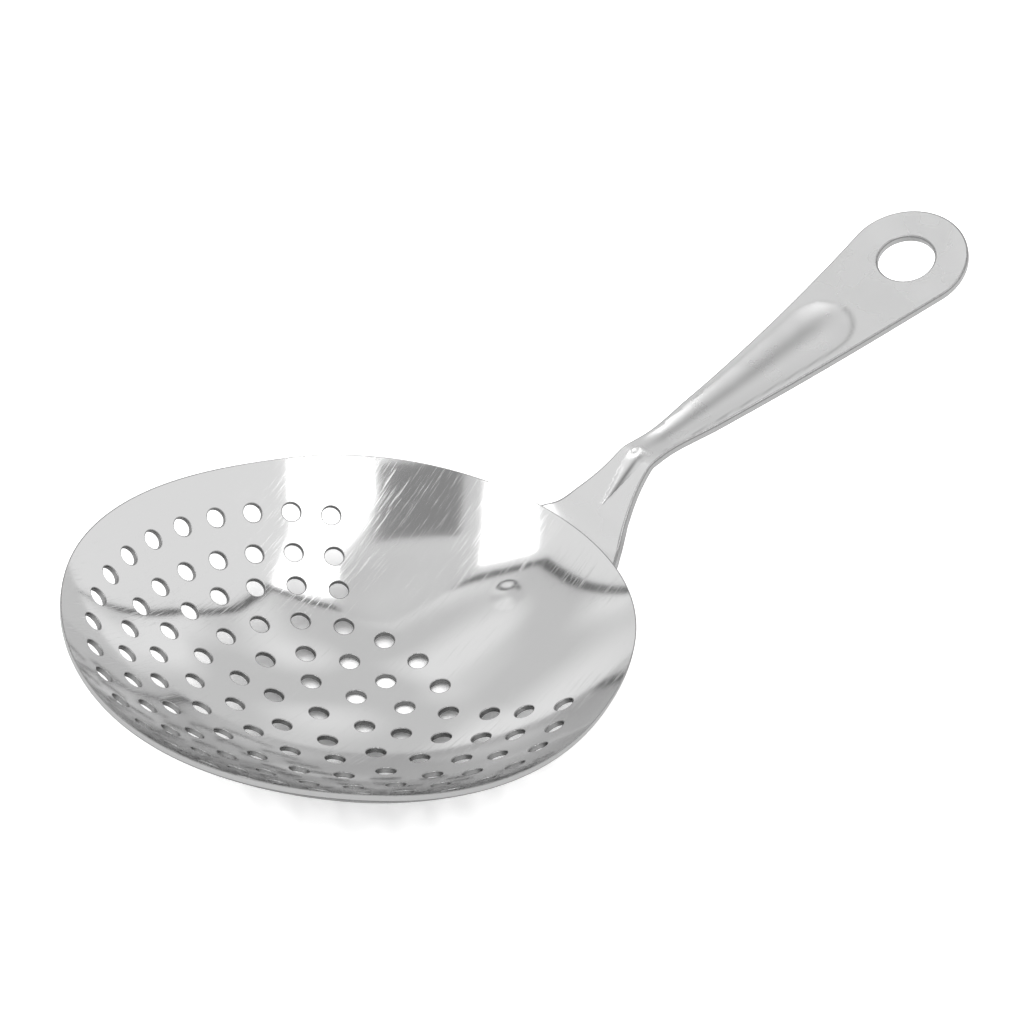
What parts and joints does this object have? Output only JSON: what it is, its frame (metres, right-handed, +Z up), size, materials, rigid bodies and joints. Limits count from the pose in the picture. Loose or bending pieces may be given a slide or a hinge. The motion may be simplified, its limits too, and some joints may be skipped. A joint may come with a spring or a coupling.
{
  "type": "julep strainer",
  "caption": "Julep strainer: a shallow perforated steel dish with an egg-shaped rim, spot-welded to a flared sheet handle with a hanging hole.",
  "frame": {"origin": "middle of the underside of the overall box, at the level of the worktop the strainer stands on", "axes": "+Z up from the worktop, +X towards the handle, +Y across the object"},
  "size_m": [0.168, 0.0832, 0.0313],
  "materials": {
    "bowl_steel": "polished stainless with fine scratches",
    "handle_steel": "satin tumbled stainless",
    "weld_steel": "fused stainless"
  },
  "bodies": {
    "root": {"perforated_bowl": "bowl_steel", "handle": "handle_steel", "spot_weld": "weld_steel"}
  },
  "joints": []
}
